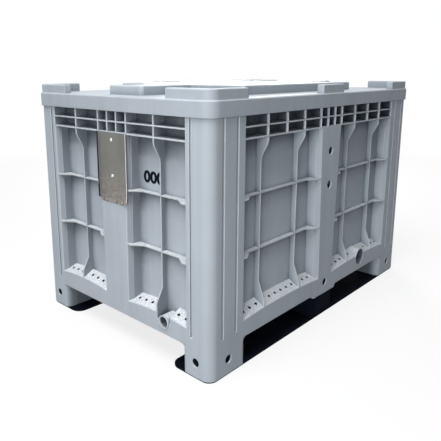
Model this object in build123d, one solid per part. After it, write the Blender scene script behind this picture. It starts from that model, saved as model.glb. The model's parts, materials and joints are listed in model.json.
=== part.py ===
from build123d import *
import os
from dataclasses import dataclass

# Pallet box with a lift-off lid, two runners, a label plate and two drains.
# Millimetres, +Z up. X runs along the long side and Y along the short side.
# The origin is on the floor, below the middle of the box.

# Tub, overall
body_length = 1200.0
body_width = 800.0
body_height = 770.0
corner_radius = 30.0
inner_radius = 30.0

# Tub, walls and floor
wall = 5.0
wall_depth = 45.0
floor_level = 120.0
rim_plate = 6.0
rail_bottom = 91.0
shelf_front = 142.0
shelf_rise = 20.0
shelf_arch = 9.0

# Corner posts and the pillar in the middle of each wall
long_post = 141.0
short_post = 88.0
pillar_top_half = 61.0
long_pillar_low_half = 43.0
short_pillar_low_half = 55.0
flank_cut = 14.0
flank_draft = 8.0
core_inset = 3.0

# Ribs on the outside of the walls
rib = 4.0
rib_setback = 24.0
lattice_drop = 103.0
lattice_row = 32.5
long_rib_pitch = 95.5
short_rib_pitch = 120.0
pillar_lattice = 22.0
pillar_lattice_end = 67.5
level_rib_count = 2
upright_flush = 19.0
upright_slope = 45.0
upright_radius = 30.0
long_flare_foot = 22.0
long_flare_rise = 62.0
short_flare_foot = 34.0
short_flare_rise = 44.0
level_flush = 18.0
level_slope = 36.0

# Grooves down the posts
groove_width = 9.0
groove_depth = 5.5
groove_skin = 3.0
groove_bottom = 119.0
long_groove_offsets = (52.0, 109.0)
short_groove_offset = 70.0

# Ribs under the floor
floor_rib_pitch_x = 222.0
floor_rib_pitch_y = 177.0

# Feet and runners
foot_long = 157.0
foot_short = 108.0
foot_radius = 20.0
mid_foot_half = 70.0
mid_foot_drop = 13.0
runner_base = 5.0
runner_width = 159.0
runner_inset = 3.0
runner_radius = 35.0
plug_wall = 5.0
plug_height = 80.0
plug_clearance = 0.5
tongue_height = 50.0
block_inset = 4.0
block_radius = 18.0

# Pins that hold the runners, and the spare holes in the long pillars
pin_radius = 13.0
pin_shank = 16.0
pin_level = 50.0
mid_pin_level = 119.0
pin_recess = 4.0
pin_grip = 6.0
label_hole_radius = 14.0
label_hole_drops = (81.0, 197.0)

# Lid
lid_clearance = 1.0
lid_wall = 5.0
lid_plate = 5.5
skirt_drop = 39.0
lid_edge_chamfer = 3.0
ridge_inset = 5.0
ridge_width = 24.0
ridge_height = 28.0
ridge_chamfer = 2.5
ridge_long = 150.0
ridge_short = 161.0
mid_ridge_half = 65.0
panel_half_length = 330.0
panel_half_width = 285.0
arm_half_length = 545.0
arm_half_width = 79.0
panel_corner_cut = 8.0

# Label plate and its rivets on the left wall
plate_width = 140.0
plate_shift = 3.0
plate_height = 217.0
plate_thickness = 1.5
plate_fold = 6.0
plate_chamfer = 12.0
rivet_radius = 2.4
rivet_head_radius = 5.5
rivet_head_height = 2.2
rivet_tail = 5.0
rivet_top_offset = 22.0
rivet_spacing = 110.0

# Drains, closed by push-in bungs
bung_clearance = 0.05
bung_length = 18.0
grip_width = 5.0
grip_height = 6.0
grip_margin = 4.0
short_drain_place = 220.0
short_drain_level = 130.0
short_drain_bore = 16.5
short_drain_wall = 3.5
short_drain_throat = 9.5
short_drain_proud = 4.0
long_drain_place = 263.0
long_drain_level = 140.5
long_drain_bore = 30.5
long_drain_wall = 3.5
long_drain_throat = 20.0
long_drain_proud = 1.0
drain_seat = 28.0
drain_notch_gap = 4.0

# Values worked out from the driving sizes
half_length = body_length / 2
half_width = body_width / 2
panel_depth = wall_depth - wall
shelf_back = shelf_front + shelf_rise
rim_underside = body_height - rim_plate
floor_bottom = floor_level - wall
mid_foot_bottom = rail_bottom - mid_foot_drop
lattice_low = body_height - lattice_drop
lattice_high = lattice_low + lattice_row
lid_top = body_height + lid_plate
lid_overhang = lid_clearance + lid_wall
pin_depth = wall + plug_clearance + plug_wall + pin_grip
cut_margin = 1.0

# Leg of a straight corner cut that just touches a round of radius 1
TANGENT_CUT = 2 - 2 ** 0.5


@dataclass
class Wall:
    """One outside wall, drawn facing -Y with its outer face at y = -face."""
    half_span: float
    face: float
    post: float
    pillar_low_half: float
    rib_places: list
    lattice_places: list
    flare_foot: float
    flare_rise: float
    grooves: list

    @property
    def post_edge(self):
        return self.half_span - self.post

    @property
    def outer(self):
        return -self.face

    @property
    def deep(self):
        return -self.face + panel_depth

    @property
    def buried(self):
        return self.deep + wall / 2

    def pillar_half(self, level):
        """Half width of the pillar's flat front, which narrows towards the floor."""
        slope = (pillar_top_half - self.pillar_low_half) / (lattice_low - shelf_front)
        return self.pillar_low_half + slope * (level - shelf_front)

    def core_half(self, level):
        """Half width of the hollow inside the pillar."""
        return self.pillar_half(level) - core_inset


long_wall = Wall(
    half_span=half_length,
    face=half_width,
    post=long_post,
    pillar_low_half=long_pillar_low_half,
    rib_places=[pillar_lattice_end + i * long_rib_pitch for i in (1, 3)],
    lattice_places=[pillar_lattice] + [pillar_lattice_end + i * long_rib_pitch for i in range(4)],
    flare_foot=long_flare_foot,
    flare_rise=long_flare_rise,
    grooves=[half_length - offset for offset in long_groove_offsets],
)
short_wall = Wall(
    half_span=half_width,
    face=half_length,
    post=short_post,
    pillar_low_half=short_pillar_low_half,
    rib_places=[pillar_lattice_end + short_rib_pitch],
    lattice_places=[pillar_lattice] + [pillar_lattice_end + i * short_rib_pitch for i in range(2)],
    flare_foot=short_flare_foot,
    flare_rise=short_flare_rise,
    grooves=[half_width - short_groove_offset],
)

# Turns about Z that bring a wall drawn facing -Y to each side of the box
FRONT, REAR, LEFT, RIGHT = 0, 180, -90, 90
SIDES = ((long_wall, FRONT), (long_wall, REAR), (short_wall, LEFT), (short_wall, RIGHT))


def turned(shapes, angle):
    """Shapes drawn on the -Y side, turned to another side of the box."""
    return [Rot(0, 0, angle) * shape for shape in shapes]


def block(x_span, y_span, z_span):
    """Rectangular block between pairs of coordinates."""
    spans = (x_span, y_span, z_span)
    middle = [(low + high) / 2 for low, high in spans]
    return Pos(*middle) * Box(*[high - low for low, high in spans])


def prism(sketch, bottom, top):
    """Plan outline extruded between two levels."""
    return extrude(Pos(0, 0, bottom) * sketch, amount=top - bottom)


def level_rib_levels():
    """Level ribs share the height between the shelf and the lattice equally."""
    step = (lattice_low - shelf_back) / (level_rib_count + 1)
    return [shelf_back + step * (index + 1) for index in range(level_rib_count)]


def shelf_level(depth):
    """Top of the sloping shelf at a depth behind the outer face."""
    return shelf_front + shelf_rise * depth / panel_depth


def bay_section(w, depth, low_inset, top_inset):
    """Outline of the right-hand bay at a depth, its sides moved in at the shelf and at the lattice."""
    outline = Polygon(
        (w.pillar_low_half + low_inset, shelf_front),
        (w.post_edge - low_inset, shelf_front),
        (w.post_edge - top_inset, lattice_low),
        (pillar_top_half + top_inset, lattice_low),
        align=None,
    )
    return Plane.XZ.offset(w.face - depth) * outline


def wall_recesses(w):
    """Bays with bevelled and drafted sides between posts and pillar, and the lattice band above them."""
    sections = [
        bay_section(w, -cut_margin, -cut_margin, -cut_margin),
        bay_section(w, flank_cut, flank_cut, flank_cut),
        bay_section(w, panel_depth, flank_cut + flank_draft, flank_cut),
    ]
    bay = loft(sections, ruled=True)
    cuts = [bay, mirror(bay, about=Plane.YZ)]
    band_depth = (w.outer - cut_margin, w.deep)
    cuts.append(block((-w.post_edge, w.post_edge), band_depth, (lattice_low, rim_underside)))
    return cuts


def arched_shelf(w):
    """Shelf at the foot of the right-hand bay, arched along the wall and rising to the panel."""
    start, end = w.pillar_low_half, w.post_edge
    base = shelf_front - shelf_rise - wall
    crown = ((start + end) / 2, shelf_front + shelf_arch)
    arch = ThreePointArc((start, shelf_front), crown, (end, shelf_front))
    rest = Polyline((end, shelf_front), (end, base), (start, base), (start, shelf_front))
    depth = panel_depth + wall / 2
    climb = shelf_level(depth) - shelf_front
    slope = Vector(0, depth, climb)
    return extrude(Plane.XZ.offset(w.face) * make_face([arch, rest]), amount=slope.length, dir=slope)


def upright_rib(w):
    """Main rib: flush at the lattice, set back down the panel, flared out to the shelf."""
    set_back = w.outer + rib_setback
    bend = lattice_low - upright_flush
    flare_low = shelf_front + w.flare_foot
    flare_high = flare_low + w.flare_rise
    edge = FilletPolyline(
        (w.outer, lattice_low),
        (w.outer, bend),
        (set_back, bend - upright_slope),
        (set_back, flare_high),
        radius=upright_radius,
    )
    rest = Polyline(
        (set_back, flare_high),
        (w.outer, flare_low),
        (w.outer, shelf_front),
        (w.buried, shelf_front),
        (w.buried, lattice_low),
        (w.outer, lattice_low),
    )
    return extrude(Plane.YZ * make_face([edge, rest]), amount=rib / 2, both=True)


def level_rib(w, level):
    """Rib across one bay: flush beside pillar and post, set back between them."""
    set_back = w.outer + rib_setback
    start = w.core_half(level)
    end = w.post_edge + core_inset
    first = w.pillar_half(level) + level_flush
    last = w.post_edge - level_flush
    outline = Polygon(
        (start, w.outer),
        (first, w.outer),
        (first + level_slope, set_back),
        (last - level_slope, set_back),
        (last, w.outer),
        (end, w.outer),
        (end, w.buried),
        (start, w.buried),
        align=None,
    )
    return extrude(Pos(0, 0, level) * outline, amount=rib / 2, both=True)


def wall_ribs(w):
    """Lattice, main ribs and sloping shelves of one wall."""
    depth = (w.outer, w.buried)
    reach = w.post_edge + wall / 2
    shapes = []
    for level in (lattice_low, lattice_high):
        shapes.append(block((-reach, reach), depth, (level - rib / 2, level + rib / 2)))
    lattice_span = (lattice_low, rim_underside + wall / 2)
    for place in w.lattice_places:
        for side in (-1, 1):
            middle = side * place
            shapes.append(block((middle - rib / 2, middle + rib / 2), depth, lattice_span))
    upright = upright_rib(w)
    for place in w.rib_places:
        shapes += [Pos(place, 0, 0) * upright, Pos(-place, 0, 0) * upright]
    for level in level_rib_levels():
        level_shape = level_rib(w, level)
        shapes += [level_shape, mirror(level_shape, about=Plane.YZ)]
    shelf = arched_shelf(w)
    return shapes + [shelf, mirror(shelf, about=Plane.YZ)]


def bay_stations(w):
    """Edges of the bays from the pillar to the post, as (start, end) pairs."""
    starts = [w.pillar_low_half] + [place + rib / 2 for place in w.rib_places]
    ends = [place - rib / 2 for place in w.rib_places] + [w.post_edge]
    return list(zip(starts, ends))


def wall_cores(w):
    """Hollows inside the pillar and below the shelves, open at the bottom."""
    front = w.outer + wall
    low = rail_bottom - cut_margin
    profile = Polygon(
        (front, low),
        (w.deep, low),
        (w.deep, shelf_back - wall),
        (front, shelf_level(wall) - wall),
        align=None,
    )
    cores = []
    for start, end in bay_stations(w):
        core = extrude(Plane.YZ.offset(start) * profile, amount=end - start)
        cores += [core, mirror(core, about=Plane.YZ)]
    top = lattice_low - wall
    bottom_half = w.core_half(low)
    top_half = w.core_half(top)
    outline = Polygon(
        (-bottom_half, low),
        (bottom_half, low),
        (top_half, top),
        (-top_half, top),
        align=None,
    )
    cores.append(extrude(Plane.XZ.offset(-front) * outline, amount=-(panel_depth - wall)))
    return cores


def groove_blocks(w, half, y_span, z_span):
    """Upright blocks at the grooves in the posts of one wall."""
    places = [side * place for place in w.grooves for side in (-1, 1)]
    return [block((place - half, place + half), y_span, z_span) for place in places]


def wall_grooves(w):
    """Grooves cut into the posts of one wall from outside."""
    y_span = (w.outer - cut_margin, w.outer + groove_depth)
    return groove_blocks(w, groove_width / 2, y_span, (groove_bottom, body_height + cut_margin))


def groove_backs(w):
    """Plastic behind the grooves, inside the hollow posts."""
    y_span = (w.outer + wall / 2, w.outer + groove_depth + groove_skin)
    z_span = (groove_bottom - groove_skin, rim_underside)
    return groove_blocks(w, groove_width / 2 + groove_skin, y_span, z_span)


def foot_rectangle(inset):
    """Plan of the front left foot before its corners are rounded, moved in by an inset."""
    x_span = (-half_length + inset, -half_length + foot_long - inset)
    y_span = (-half_width + inset, -half_width + foot_short - inset)
    middle = Pos((x_span[0] + x_span[1]) / 2, (y_span[0] + y_span[1]) / 2)
    return middle * Rectangle(x_span[1] - x_span[0], y_span[1] - y_span[0])


def foot_plan():
    """Round-cornered outline of the front left foot, with its inmost corner cut off."""
    plan = foot_rectangle(0.0)
    inward = Axis((0, 0, 0), (1, 1, 0))
    plan = chamfer(plan.vertices().sort_by(inward)[-1], foot_radius * TANGENT_CUT)
    side_corners = [max(plan.vertices(), key=lambda corner: corner.X - corner.Y),
                    max(plan.vertices(), key=lambda corner: corner.Y - corner.X)]
    plan = fillet(side_corners, foot_radius)
    return fillet(plan.vertices().sort_by(inward)[0], corner_radius)


def foot_hollow(inset):
    """Outline of the foot's hollow, or of what fits in it, with its corners cut off."""
    plan = foot_rectangle(inset)
    inward = Axis((0, 0, 0), (1, 1, 0))
    plan = chamfer(plan.vertices().sort_by(inward)[1:], (foot_radius - wall) * TANGENT_CUT)
    return chamfer(plan.vertices().sort_by(inward)[0], (corner_radius - wall) * TANGENT_CUT)


def at_corners(shape):
    """A shape drawn at the front left corner, repeated at all four."""
    front = [shape, mirror(shape, about=Plane.YZ)]
    return front + [mirror(item, about=Plane.XZ) for item in front]


def post_core():
    """L-shaped hollow inside the front left corner post."""
    x_outer = -half_length + wall
    y_outer = -half_width + wall
    x_skin = -half_length + panel_depth
    y_skin = -half_width + panel_depth
    x_flank = -long_wall.post_edge - core_inset
    y_flank = -short_wall.post_edge - core_inset
    plan = Polygon(
        (x_outer, y_outer),
        (x_flank, y_outer),
        (x_flank, y_skin),
        (x_skin, y_skin),
        (x_skin, y_flank),
        (x_outer, y_flank),
        align=None,
    )
    outer_corner = plan.vertices().sort_by(Axis((0, 0, 0), (1, 1, 0)))[0]
    plan = chamfer(outer_corner, (corner_radius - wall) * TANGENT_CUT)
    return prism(plan, floor_bottom - cut_margin, rim_underside)


def mid_foot(inset=0.0):
    """Stub below the pillar of the front wall, or its hollow when inset."""
    half = mid_foot_half - inset
    flare = mid_foot_drop
    bottom = mid_foot_bottom
    y_low = -half_width + inset
    y_high = -half_width + foot_short - inset
    if inset:
        return block((-half, half), (y_low, y_high), (bottom - cut_margin, floor_bottom))
    right = RadiusArc((half, bottom), (half + flare, rail_bottom), flare)
    left = RadiusArc((-half - flare, rail_bottom), (-half, bottom), flare)
    outline = Polyline(
        (half + flare, rail_bottom),
        (half + flare, floor_bottom),
        (-half - flare, floor_bottom),
        (-half - flare, rail_bottom),
    )
    face = make_face([right, left, outline, Line((-half, bottom), (half, bottom))])
    return extrude(Plane.XZ.offset(half_width) * face, amount=y_low - y_high)


def floor_ribs():
    """Crossed ribs under the floor."""
    levels = (rail_bottom, floor_bottom + wall / 2)
    x_reach = half_length - wall_depth + wall / 2
    y_reach = half_width - wall_depth + wall / 2
    ribs = []
    count_x = int(x_reach // floor_rib_pitch_x)
    count_y = int(y_reach // floor_rib_pitch_y)
    for index in range(-count_x, count_x + 1):
        middle = index * floor_rib_pitch_x
        ribs.append(block((middle - rib / 2, middle + rib / 2), (-y_reach, y_reach), levels))
    for index in range(-count_y, count_y + 1):
        middle = index * floor_rib_pitch_y
        ribs.append(block((-x_reach, x_reach), (middle - rib / 2, middle + rib / 2), levels))
    return ribs


@dataclass
class Drain:
    """Drain through a wall, drawn on the -Y side."""
    wall: Wall
    place: float
    level: float
    bore: float
    boss_wall: float
    throat: float
    proud: float

    def disc(self, radius, start, end):
        """Round slice between two depths behind the outer face, on the drain's axis."""
        middle = self.wall.outer + (start + end) / 2
        return Pos(self.place, middle, self.level) * Rot(90, 0, 0) * Cylinder(radius, end - start)

    def boss(self):
        """Round collar, solid until the drain is cut through it."""
        return self.disc(self.bore + self.boss_wall, -self.proud, panel_depth + wall / 2)

    def notch(self):
        """Gap in the rail and the shelf above the drain's axis, from the next rib to just past the boss."""
        start = max(place for place in self.wall.rib_places if place < self.place) + rib / 2
        end = self.place + self.bore + self.boss_wall + drain_notch_gap
        y_span = (self.wall.outer - cut_margin, self.wall.deep)
        return block((start, end), y_span, (self.level, shelf_back + shelf_arch + cut_margin))

    def cuts(self):
        """Wide mouth and narrower throat through the wall."""
        mouth = self.disc(self.bore, -self.proud - cut_margin, drain_seat)
        throat = self.disc(self.throat, drain_seat - cut_margin, wall_depth + cut_margin)
        return [mouth, throat]

    def bung(self):
        """Push-in bung in the throat, with a finger grip across its face."""
        body = self.disc(self.throat - bung_clearance, drain_seat, drain_seat + bung_length)
        reach = self.throat - grip_margin
        face = self.wall.outer + drain_seat
        grip = block(
            (self.place - reach, self.place + reach),
            (face - grip_height, face + cut_margin),
            (self.level - grip_width / 2, self.level + grip_width / 2),
        )
        return body + grip


long_drain = Drain(
    wall=long_wall,
    place=long_drain_place,
    level=long_drain_level,
    bore=long_drain_bore,
    boss_wall=long_drain_wall,
    throat=long_drain_throat,
    proud=long_drain_proud,
)
short_drain = Drain(
    wall=short_wall,
    place=short_drain_place,
    level=short_drain_level,
    bore=short_drain_bore,
    boss_wall=short_drain_wall,
    throat=short_drain_throat,
    proud=short_drain_proud,
)
DRAINS = ((long_drain, FRONT), (short_drain, LEFT))


def pin_seats():
    """Pins of the front runner, one in each end face and one in the pillar: (place, level, turn, wall)."""
    end_place = half_width - foot_short / 2
    return [
        (0.0, mid_pin_level, FRONT, long_wall),
        (end_place, pin_level, LEFT, short_wall),
        (-end_place, pin_level, RIGHT, short_wall),
    ]


def foot_side_holes():
    """Open holes in the long sides of the front feet."""
    place = half_length - foot_long / 2
    seats = [(side * place, pin_level, FRONT, long_wall) for side in (-1, 1)]
    return [pin_disc(seat, pin_radius, -cut_margin, wall + cut_margin) for seat in seats]


def pin_disc(seat, radius, start, end):
    """Round slice on a pin's axis between two depths behind the outer face."""
    place, level, turn, w = seat
    middle = w.outer + (start + end) / 2
    disc = Pos(place, middle, level) * Rot(90, 0, 0) * Cylinder(radius, end - start)
    return Rot(0, 0, turn) * disc


def pin_bar(seat, start):
    """Square shank of a pin, from a depth behind the outer face to its end."""
    place, level, turn, w = seat
    half = pin_shank / 2
    y_span = (w.outer + start, w.outer + pin_depth)
    bar = block((place - half, place + half), y_span, (level - half, level + half))
    return Rot(0, 0, turn) * bar


def pin_holes():
    """Round holes for the heads of the front runner's pins, through the tub's wall."""
    return [pin_disc(seat, pin_radius, -cut_margin, wall + cut_margin) for seat in pin_seats()]


def runner_pins():
    """Push pins of the front runner: a round head sunk in the tub's wall and a square shank."""
    neck = wall + plug_clearance
    return [pin_disc(seat, pin_radius, pin_recess, neck) + pin_bar(seat, neck) for seat in pin_seats()]


def rivet_levels():
    """Heights of the two rivets below the lattice."""
    first = lattice_low - rivet_top_offset
    return [first, first - rivet_spacing]


def left_disc(radius, level, start, end):
    """Round slice in the middle of the left wall, between two depths behind its face."""
    middle = short_wall.outer + (start + end) / 2
    return Rot(0, 0, LEFT) * Pos(0, middle, level) * Rot(90, 0, 0) * Cylinder(radius, end - start)


def make_tub():
    """Tub: a block hollowed inside and out, then ribs, feet, drains and holes."""
    plan = RectangleRounded(body_length, body_width, corner_radius)
    inside = RectangleRounded(body_length - 2 * wall_depth, body_width - 2 * wall_depth, inner_radius)
    cuts = [
        prism(inside, floor_level, body_height + cut_margin),
        prism(inside, rail_bottom - cut_margin, floor_bottom),
    ]
    adds = floor_ribs()
    cores = at_corners(post_core())
    for w, angle in SIDES:
        cuts += turned(wall_recesses(w), angle)
        adds += turned(wall_ribs(w), angle)
        cores += turned(wall_cores(w), angle)
    adds += at_corners(prism(foot_plan(), runner_base, floor_bottom))
    adds += turned([mid_foot()], FRONT) + turned([mid_foot()], REAR)
    cores += at_corners(prism(foot_hollow(wall), runner_base - cut_margin, floor_bottom))
    cores += turned([mid_foot(wall)], FRONT) + turned([mid_foot(wall)], REAR)
    backs = []
    for w, angle in SIDES:
        backs += turned(groove_backs(w), angle)
    tub = prism(plan, rail_bottom, body_height) - cuts
    tub = tub + adds
    tub = tub - cores + backs
    tub = tub - turned([short_drain.notch()], LEFT)
    tub = tub + [Rot(0, 0, angle) * drain.boss() for drain, angle in DRAINS]
    holes = []
    for drain, angle in DRAINS:
        holes += turned(drain.cuts(), angle)
    for w, angle in SIDES:
        holes += turned(wall_grooves(w), angle)
    front_holes = pin_holes() + foot_side_holes()
    for drop in label_hole_drops:
        centre = Pos(0, long_wall.outer, lattice_low - drop) * Rot(90, 0, 0)
        front_holes.append(centre * Cylinder(label_hole_radius, 2 * wall + cut_margin))
    holes += front_holes + turned(front_holes, REAR)
    holes += [left_disc(rivet_radius, level, -cut_margin, wall + cut_margin) for level in rivet_levels()]
    return tub - holes


def make_runner():
    """Front runner: flat base, hollow plugs in the corner feet and a block under the middle foot."""
    x_reach = half_length - runner_inset
    y_low = -half_width + runner_inset
    y_high = y_low + runner_width
    plan = Polygon((-x_reach, y_low), (x_reach, y_low), (x_reach, y_high), (-x_reach, y_high), align=None)
    outer_corners = plan.vertices().group_by(Axis.Y)[0]
    plan = fillet(outer_corners, corner_radius - runner_inset)
    inner_corners = plan.vertices().group_by(Axis.Y)[-1]
    plan = fillet(inner_corners, runner_radius)
    base = prism(plan, 0, runner_base)
    gap = wall + plug_clearance
    plug = prism(foot_hollow(gap), runner_base / 2, runner_base + plug_height)
    plug -= prism(foot_hollow(gap + plug_wall), runner_base, runner_base + plug_height + cut_margin)
    half = mid_foot_half - block_inset
    block_plan = Polygon(
        (-half, -half_width + block_inset),
        (half, -half_width + block_inset),
        (half, y_high - block_inset),
        (-half, y_high - block_inset),
        align=None,
    )
    block_plan = fillet(block_plan.vertices(), block_radius)
    column = prism(block_plan, runner_base / 2, mid_foot_bottom)
    spigot_half = mid_foot_half - gap
    spigot_y = (-half_width + gap, -half_width + foot_short - gap)
    spigot_z = (mid_foot_bottom - wall, floor_bottom - plug_clearance)
    spigot = block((-spigot_half, spigot_half), spigot_y, spigot_z)
    tongue_half = long_wall.core_half(rail_bottom - cut_margin) - plug_clearance
    tongue_y = (-half_width + gap, -half_width + panel_depth - plug_clearance)
    tongue = block((-tongue_half, tongue_half), tongue_y, (mid_foot_bottom, floor_bottom + tongue_height))
    hollow_y = (spigot_y[0] + 2 * plug_wall, spigot_y[1] - plug_wall)
    hollow_half = spigot_half - plug_wall - block_radius / 2
    hollow = block((-hollow_half, hollow_half), hollow_y, (-cut_margin, floor_bottom - 2 * plug_wall))
    corner_plugs = [plug, mirror(plug, about=Plane.YZ)]
    windows = [pin_bar(seat, wall) for seat in pin_seats()]
    return base + corner_plugs + [column, spigot, tongue] - hollow - windows


def make_lid():
    """Lid: plate with a skirt, corner and middle ridges and a raised panel, all hollow below."""
    length = body_length + 2 * lid_overhang
    width = body_width + 2 * lid_overhang
    radius = corner_radius + lid_overhang
    skirt_bottom = body_height - skirt_drop
    plate = prism(RectangleRounded(length, width, radius), skirt_bottom, lid_top)
    plate = chamfer(plate.faces().sort_by(Axis.Z)[-1].edges(), lid_edge_chamfer)
    inside = RectangleRounded(length - 2 * lid_wall, width - 2 * lid_wall, radius - lid_wall)
    plate -= prism(inside, skirt_bottom - cut_margin, body_height)

    x_outer = length / 2 - ridge_inset
    y_outer = width / 2 - ridge_inset

    def corner_ridge(inset):
        x_low, y_low = -x_outer + inset, -y_outer + inset
        thick = ridge_width - 2 * inset
        outline = Polygon(
            (x_low, y_low),
            (x_low + ridge_long - 2 * inset, y_low),
            (x_low + ridge_long - 2 * inset, y_low + thick),
            (x_low + thick, y_low + thick),
            (x_low + thick, y_low + ridge_short - 2 * inset),
            (x_low, y_low + ridge_short - 2 * inset),
            align=None,
        )
        outer_corner = outline.vertices().sort_by(Axis((0, 0, 0), (1, 1, 0)))[0]
        corner = radius - ridge_inset - inset
        return chamfer(outer_corner, corner * TANGENT_CUT) if inset else fillet(outer_corner, corner)

    def mid_ridge(inset):
        outline = Rectangle(2 * (mid_ridge_half - inset), ridge_width - 2 * inset)
        return Pos(0, -y_outer + ridge_width / 2) * outline

    def centre_panel(inset):
        panel = Rectangle(2 * (panel_half_length - inset), 2 * (panel_half_width - inset))
        panel += Rectangle(2 * (arm_half_length - inset), 2 * (arm_half_width - inset))
        return panel if inset else chamfer(panel.vertices(), panel_corner_cut)

    def raised(outline):
        """Outline and its hollow, as a solid on the plate and a cut from below."""
        solid = prism(outline(0.0), body_height, lid_top + ridge_height)
        solid = chamfer(solid.faces().sort_by(Axis.Z)[-1].edges(), ridge_chamfer)
        hollow = prism(outline(lid_wall), body_height - cut_margin, lid_top + ridge_height - lid_wall)
        return solid, hollow

    corner, corner_hollow = raised(corner_ridge)
    middle, middle_hollow = raised(mid_ridge)
    centre, centre_hollow = raised(centre_panel)
    lid = plate + at_corners(corner) + [middle, mirror(middle, about=Plane.XZ), centre]
    hollows = at_corners(corner_hollow)
    hollows += [middle_hollow, mirror(middle_hollow, about=Plane.XZ), centre_hollow]
    return lid - hollows


def make_label_plate():
    """Thin steel plate on the left pillar, with folded sides and its lower corners cut off."""
    left = plate_shift - plate_width / 2
    right = plate_shift + plate_width / 2
    bottom = lattice_low - plate_height
    fold_bottom = bottom + plate_chamfer
    outline = Polygon(
        (left, lattice_low),
        (left, fold_bottom),
        (left + plate_chamfer, bottom),
        (right - plate_chamfer, bottom),
        (right, fold_bottom),
        (right, lattice_low),
        align=None,
    )
    sheet = extrude(Plane.XZ.offset(short_wall.face) * outline, amount=plate_thickness)
    fold_depth = (short_wall.outer - plate_fold, short_wall.outer)
    for side in ((left, left + plate_thickness), (right - plate_thickness, right)):
        sheet += block(side, fold_depth, (fold_bottom, lattice_low))
    through = (-2 * plate_thickness, plate_thickness)
    holes = [left_disc(rivet_radius, level, *through) for level in rivet_levels()]
    return Rot(0, 0, LEFT) * sheet - holes


def make_rivets():
    """Rivets with a flat head on the plate and a shank through the pillar's wall."""
    rivets = []
    for level in rivet_levels():
        shank = left_disc(rivet_radius, level, -plate_thickness - cut_margin, wall + rivet_tail)
        head = left_disc(rivet_head_radius, level, -plate_thickness - rivet_head_height, -plate_thickness)
        rivets.append(head + shank)
    return rivets


def main():
    runner = make_runner()
    pins = runner_pins()
    nodes = {
        "tub": make_tub(),
        "lid": make_lid(),
        "runner_front": runner,
        "runner_rear": Rot(0, 0, REAR) * runner,
        "runner_pins_front": Compound(children=pins),
        "runner_pins_rear": Compound(children=turned(pins, REAR)),
        "label_plate": make_label_plate(),
        "plate_rivets": Compound(children=make_rivets()),
        "drain_bung_front": long_drain.bung(),
        "drain_bung_left": Rot(0, 0, LEFT) * short_drain.bung(),
    }
    os.makedirs("parts", exist_ok=True)
    for name, shape in nodes.items():
        export_step(shape, "parts/" + name + ".step")


main()
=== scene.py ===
import json
import math
from dataclasses import dataclass

import bmesh
import bpy
from mathutils import Matrix, Vector


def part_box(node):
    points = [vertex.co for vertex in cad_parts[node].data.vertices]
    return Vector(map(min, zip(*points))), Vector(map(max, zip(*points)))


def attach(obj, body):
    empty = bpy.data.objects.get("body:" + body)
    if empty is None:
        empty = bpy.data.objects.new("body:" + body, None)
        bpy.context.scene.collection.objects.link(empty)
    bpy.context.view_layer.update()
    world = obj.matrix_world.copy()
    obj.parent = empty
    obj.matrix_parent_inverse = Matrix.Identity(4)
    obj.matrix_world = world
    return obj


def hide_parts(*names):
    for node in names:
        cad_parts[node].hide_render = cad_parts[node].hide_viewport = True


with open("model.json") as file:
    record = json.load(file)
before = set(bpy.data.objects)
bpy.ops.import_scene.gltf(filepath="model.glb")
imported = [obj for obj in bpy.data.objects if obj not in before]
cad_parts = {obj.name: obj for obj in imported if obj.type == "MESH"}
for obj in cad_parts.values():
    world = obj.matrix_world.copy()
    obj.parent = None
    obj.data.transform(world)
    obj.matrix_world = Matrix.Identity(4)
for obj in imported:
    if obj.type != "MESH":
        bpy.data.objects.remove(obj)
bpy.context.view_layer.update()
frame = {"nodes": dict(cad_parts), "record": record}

# Looks of a pallet box: moulded grey plastic, black runners, a steel label plate and rubber bungs.
# Metres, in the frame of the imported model. X runs along the long side and Z is up.

# Camera, fitted to the photograph
CAMERA_PLACE = Vector((-1.5292, -1.2408, 0.8450))
CAMERA_YAW = math.radians(46.700)
CAMERA_PITCH = math.radians(11.886)
CAMERA_ROLL = math.radians(0.131)
FOCAL_PIXELS = 512.0
IMAGE_PIXELS = 441
PRINCIPAL_POINT = (200.06, 179.07)
SENSOR_MM = 36.0

# Light
AMBIENT_LEVEL = 0.13
AMBIENT_COLOUR = (0.91, 0.96, 1.0, 1.0)
WHITE = (1.0, 1.0, 1.0, 1.0)
LAMP_TARGET = Vector((0.0, 0.0, 0.4))
FLOOR_SIZE = 40.0
FLOOR_COLOUR = (0.22, 0.22, 0.22, 1.0)
FLOOR_GLOW = 0.79
FLOOR_FADE = (1.6, 4.0)

# Colours
GREY = (0.448, 0.500, 0.555, 1.0)
PALE = (0.900, 0.925, 0.950, 1.0)
SHADE = (0.048, 0.058, 0.074, 1.0)
DIRT = (0.230, 0.225, 0.215, 1.0)
BLACK = (0.0060, 0.0080, 0.0140, 1.0)
DUST = (0.020, 0.021, 0.024, 1.0)
STEEL = (0.206, 0.208, 0.196, 1.0)
WARM_STEEL = (0.304, 0.270, 0.252, 1.0)
BRIGHT_STEEL = (0.780, 0.775, 0.760, 1.0)
RUBBER = (0.006, 0.006, 0.0065, 1.0)

# Depths behind the walls' outer faces, and levels, where the painted shade changes
CORNER_RADIUS = 0.030
CORNER_FADE = 0.004
GROOVE_DEPTH = 0.0056
RECESS_DEPTH = 0.0075
BAY_DEPTH = 0.0120
FOOT_TOP = 0.090
PANEL_MIDDLE = 0.480
LATTICE_LOW = 0.667
LATTICE_EDGE = (LATTICE_LOW - 0.001, LATTICE_LOW + 0.003)
LID_LINE = 0.004

# Painted shadow below and beside what stands out of the walls: the light it stands for comes from above,
# and a little from each wall's left
UP = Vector((0.0, 0.0, 1.0))
PAINTED_LIGHT_FROM_ABOVE = 0.80
PAINTED_LIGHT_FROM_LEFT = 0.35
PAINTED_SHADOW_REACH = 0.070
PANEL_SHADOW_RANGE = (0.22, 0.72)
CELL_SHADOW_RANGE = (0.60, 0.88)
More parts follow.
